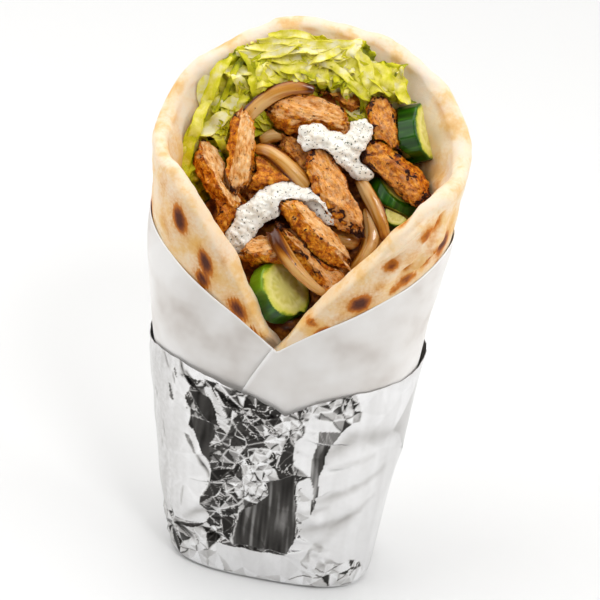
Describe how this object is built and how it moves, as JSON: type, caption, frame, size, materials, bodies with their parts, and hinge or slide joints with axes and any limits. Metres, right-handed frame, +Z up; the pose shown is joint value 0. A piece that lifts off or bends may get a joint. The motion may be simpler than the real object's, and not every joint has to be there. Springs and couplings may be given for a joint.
{
  "type": "gyro wrap",
  "caption": "Thick flatbread cone filled with grilled chicken, onion, cucumber, lettuce and herb sauce, in a paper sleeve and a foil cup, standing on its folded foot.",
  "frame": {"origin": "middle of the flat base that the wrap stands on", "axes": "+Z up along the wrap; -Y towards the open front where the bread's two flaps cross; +X to the right seen from the front"},
  "size_m": [0.1067, 0.0739, 0.1976],
  "materials": {
    "foil": "bright, crumpled",
    "paper": "matte white wrapping paper",
    "flatbread": "pale baked bread with brown char spots",
    "chicken": "grilled, pale inside and charred at the edges",
    "onion": "fried, translucent brown",
    "cucumber": "dark green peel, pale wet cut faces",
    "lettuce": "fresh pale green shreds",
    "sauce": "thick white sauce with dark herb flecks"
  },
  "bodies": {
    "root": {"foil": "foil", "paper": "paper", "flatbread": "flatbread", "lettuce": "lettuce", "filling_bed": "chicken", "sauce_upper": "sauce", "sauce_lower": "sauce", "chicken_1": "chicken", "chicken_2": "chicken", "chicken_3": "chicken", "chicken_4": "chicken", "chicken_5": "chicken", "chicken_6": "chicken", "chicken_7": "chicken", "chicken_8": "chicken", "chicken_9": "chicken", "chicken_10": "chicken", "chicken_11": "chicken", "chicken_12": "chicken", "chicken_13": "chicken", "chicken_14": "chicken", "onion_1": "onion", "onion_2": "onion", "onion_3": "onion", "onion_4": "onion", "onion_5": "onion", "onion_6": "onion", "onion_7": "onion", "cucumber_1": "cucumber", "cucumber_2": "cucumber", "cucumber_3": "cucumber", "cucumber_4": "cucumber"}
  },
  "joints": []
}
